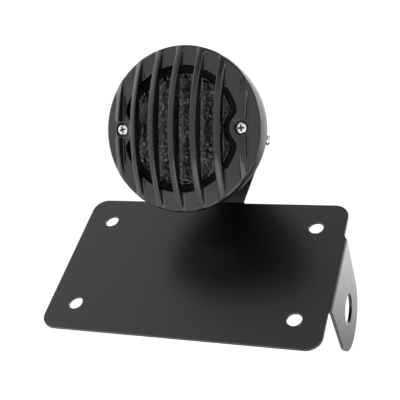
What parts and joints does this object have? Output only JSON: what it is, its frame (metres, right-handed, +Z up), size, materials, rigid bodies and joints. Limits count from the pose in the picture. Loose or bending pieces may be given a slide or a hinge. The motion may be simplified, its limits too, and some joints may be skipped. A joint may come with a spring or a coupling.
{
  "type": "motorcycle tail light",
  "caption": "Round finned tail light on a bent sheet bracket that also carries the licence plate and bolts to the axle by a side ear.",
  "frame": {"origin": "centre of the axle hole, on the outer face of the bracket's ear", "axes": "+Z up, -Y the way the lamp faces, +X out of the ear's outer face"},
  "size_m": [0.1858, 0.09, 0.1886],
  "materials": {
    "powder_coat": "satin black powder coat on 2 mm steel sheet",
    "cast_gloss_black": "gloss black enamel on die-cast aluminium",
    "smoked_lens": "dark smoked polycarbonate, polished",
    "black_rubber": "moulded black rubber, matte",
    "lead_sheath": "black insulated lead",
    "zinc_steel": "bright zinc-plated steel",
    "bright_reflector": "metallised plastic",
    "circuit_board": "green solder mask",
    "led_lens": "water-clear lamp body",
    "plate_led": "white lamp with yellow phosphor",
    "component_black": "moulded electronic parts",
    "clear_window": "clear polycarbonate"
  },
  "bodies": {
    "root": {"bracket": "powder_coat", "housing": "cast_gloss_black", "bezel": "cast_gloss_black", "lens": "smoked_lens", "lens_gasket": "black_rubber", "base_gasket": "black_rubber", "wire_grommet": "black_rubber", "plate_light_lead": "lead_sheath", "bezel_screw_left": "zinc_steel", "bezel_screw_right": "zinc_steel", "side_screw": "zinc_steel", "side_nut": "zinc_steel", "board_screw_1": "zinc_steel", "board_screw_2": "zinc_steel", "board_screw_3": "zinc_steel", "mount_bolt_left": "zinc_steel", "mount_bolt_right": "zinc_steel", "mount_washer_left": "zinc_steel", "mount_washer_right": "zinc_steel", "lock_washer_left": "zinc_steel", "lock_washer_right": "zinc_steel", "mount_nut_left": "zinc_steel", "mount_nut_right": "zinc_steel", "plate_light_angle": "zinc_steel", "reflector": "bright_reflector", "led_board": "circuit_board", "plate_led_board": "circuit_board", "led_01": "led_lens", "led_02": "led_lens", "led_03": "led_lens", "led_04": "led_lens", "led_05": "led_lens", "led_06": "led_lens", "led_07": "led_lens", "led_08": "led_lens", "led_09": "led_lens", "led_10": "led_lens", "led_11": "led_lens", "led_12": "led_lens", "led_13": "led_lens", "led_14": "led_lens", "led_15": "led_lens", "led_16": "led_lens", "plate_led_left": "plate_led", "plate_led_right": "plate_led", "board_connector": "component_black", "driver_chip": "component_black", "capacitor": "component_black", "plate_window": "clear_window"}
  },
  "joints": []
}
